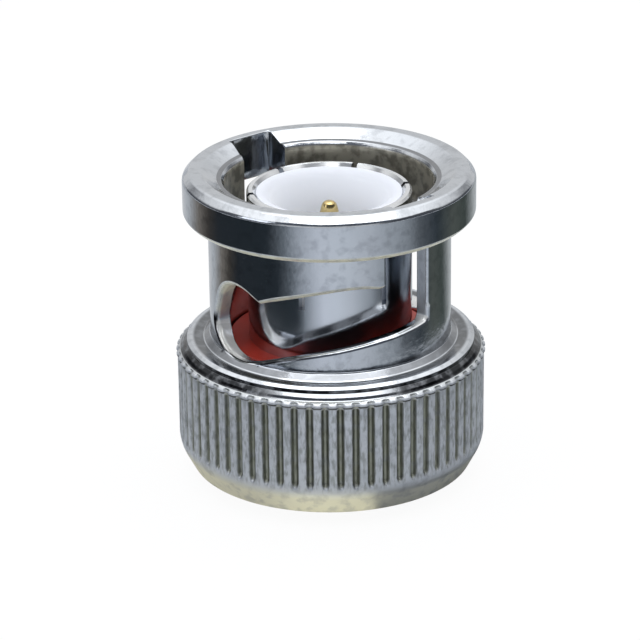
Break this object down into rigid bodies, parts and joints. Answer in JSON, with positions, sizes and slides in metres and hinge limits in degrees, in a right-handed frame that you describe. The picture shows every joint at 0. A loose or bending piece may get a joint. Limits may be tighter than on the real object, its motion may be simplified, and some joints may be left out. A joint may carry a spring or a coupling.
{
  "type": "bnc connector",
  "caption": "Straight BNC plug with a knurled bayonet coupling nut, slotted outer contact, white insulator, gold centre pin and red gasket, closed at the rear.",
  "frame": {"origin": "centre of the rear cap's flat face, on the plug's axis", "axes": "+Z along the plug's axis towards the mating end, -Y towards the front, where the entry channel sits to the right of the middle"},
  "size_m": [0.0148, 0.0148, 0.0153],
  "materials": {
    "nickel_plated_brass": "bright nickel plate",
    "nickel_inner": "bright nickel plate",
    "gold_plated_brass": "gold plate",
    "ptfe": "natural white",
    "silicone_rubber": "moulded",
    "spring_steel": "plain",
    "ceramic": "matt"
  },
  "bodies": {
    "plug": {"plug_body": "nickel_plated_brass", "rear_cap": "nickel_plated_brass", "outer_contact": "nickel_inner", "dielectric": "ptfe", "centre_pin": "gold_plated_brass", "gasket": "silicone_rubber", "load_resistor": "ceramic", "wave_washer": "spring_steel"},
    "washer": {"thrust_washer": "nickel_plated_brass"},
    "nut": {"coupling_nut": "nickel_plated_brass", "retaining_ring": "spring_steel"}
  },
  "joints": [
    {"name": "nut_float", "type": "slide", "parent": "plug", "child": "washer", "axis": [0, 0, 1], "range_m": [0, 0.0008], "stiffness_N_per_m": 20000, "springref_m": -0.0005, "deforming": ["wave_washer"]},
    {"name": "nut_spin", "type": "hinge", "parent": "washer", "child": "nut", "pos_m": [0, 0, 0], "axis": [0, 0, 1], "continuous": true}
  ]
}
